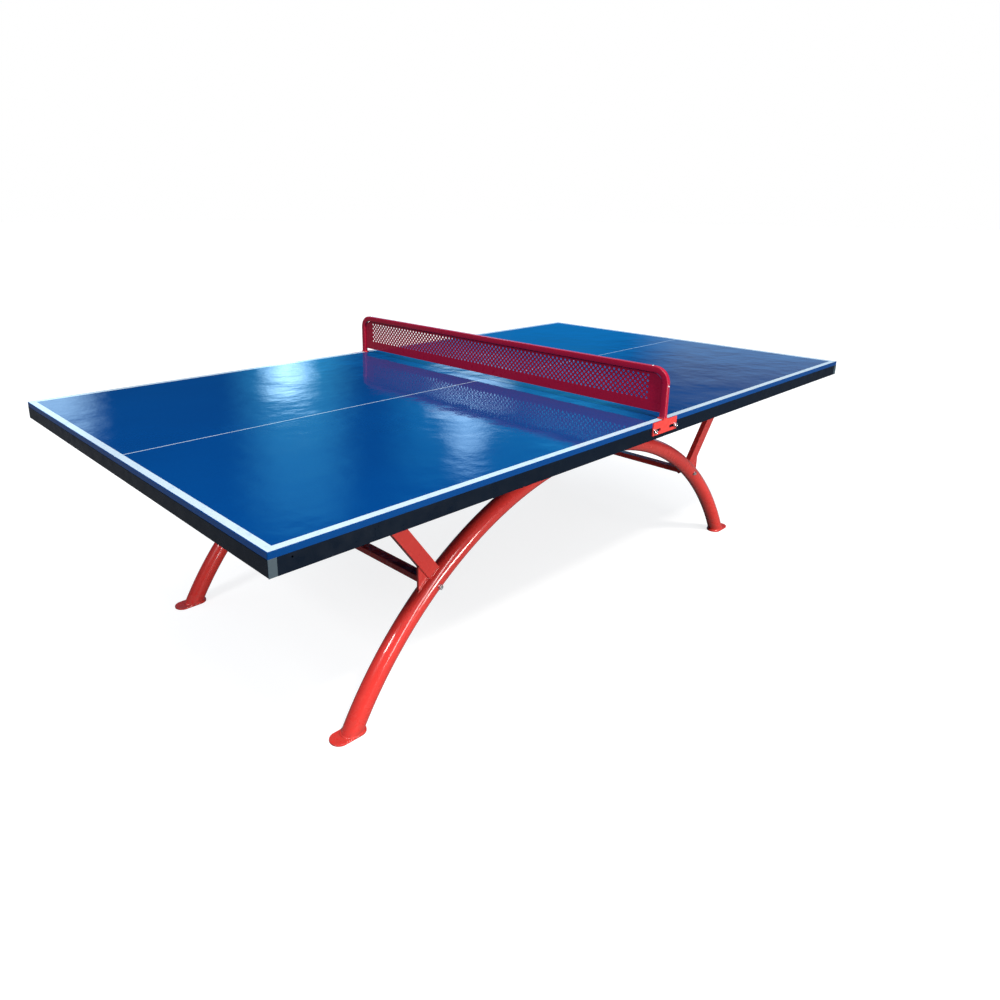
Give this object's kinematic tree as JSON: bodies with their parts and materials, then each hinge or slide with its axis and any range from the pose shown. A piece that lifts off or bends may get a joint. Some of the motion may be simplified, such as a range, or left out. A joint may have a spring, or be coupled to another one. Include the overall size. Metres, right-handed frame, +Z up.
{
  "type": "ping pong table",
  "caption": "Outdoor ping pong table: a blue top in two halves on steel frames, carried by two red arched tube legs, with a perforated steel net.",
  "frame": {"origin": "on the floor, under the middle of the net", "axes": "+X along the table, +Y across it, +Z up"},
  "size_m": [2.74, 1.5468, 0.9222],
  "materials": {
    "blue_top": "glossy blue paint on moulded sheet, with white lines",
    "frame_steel": "semi-gloss dark navy paint",
    "cap_plastic": "matt grey plastic",
    "leg_red": "glossy red powder coat",
    "net_red": "glossy crimson powder coat",
    "zinc_steel": "bright zinc plate"
  },
  "bodies": {
    "root": {"half_top_left": "blue_top", "half_top_right": "blue_top", "end_rail_left": "frame_steel", "end_rail_right": "frame_steel", "side_rail_left_near": "frame_steel", "side_rail_left_far": "frame_steel", "side_rail_right_near": "frame_steel", "side_rail_right_far": "frame_steel", "seam_rail_left": "frame_steel", "seam_rail_right": "frame_steel", "bearer_left_near": "frame_steel", "bearer_left_far": "frame_steel", "bearer_right_near": "frame_steel", "bearer_right_far": "frame_steel", "rail_end_caps": "cap_plastic", "top_tabs_left": "frame_steel", "top_tabs_right": "frame_steel", "top_screws": "zinc_steel", "arch_near": "leg_red", "arch_far": "leg_red", "foot_plate_left_near": "leg_red", "foot_plate_left_far": "leg_red", "foot_plate_right_near": "leg_red", "foot_plate_right_far": "leg_red", "crown_post_near": "leg_red", "crown_post_far": "leg_red", "crown_plate_near": "leg_red", "crown_plate_far": "leg_red", "brace_left_near": "leg_red", "brace_left_far": "leg_red", "brace_right_near": "leg_red", "brace_right_far": "leg_red", "gusset_left_near": "leg_red", "gusset_left_far": "leg_red", "gusset_right_near": "leg_red", "gusset_right_far": "leg_red", "brace_plate_left_near": "leg_red", "brace_plate_left_far": "leg_red", "brace_plate_right_near": "leg_red", "brace_plate_right_far": "leg_red", "cross_beam_left": "leg_red", "cross_beam_right": "leg_red", "beam_plate_left_near": "leg_red", "beam_plate_left_far": "leg_red", "beam_plate_right_near": "leg_red", "beam_plate_right_far": "leg_red", "leg_bolts": "zinc_steel", "leg_bolt_washers": "zinc_steel", "leg_weld_nuts": "zinc_steel", "frame_bolts": "zinc_steel", "frame_bolt_washers": "zinc_steel", "frame_weld_nuts": "zinc_steel", "net_frame": "net_red", "net_panel": "net_red", "net_screws": "zinc_steel", "net_bracket_near": "leg_red", "net_bracket_far": "leg_red", "net_bracket_bolts": "zinc_steel", "net_bracket_washers": "zinc_steel", "net_bracket_weld_nuts": "zinc_steel"}
  },
  "joints": []
}
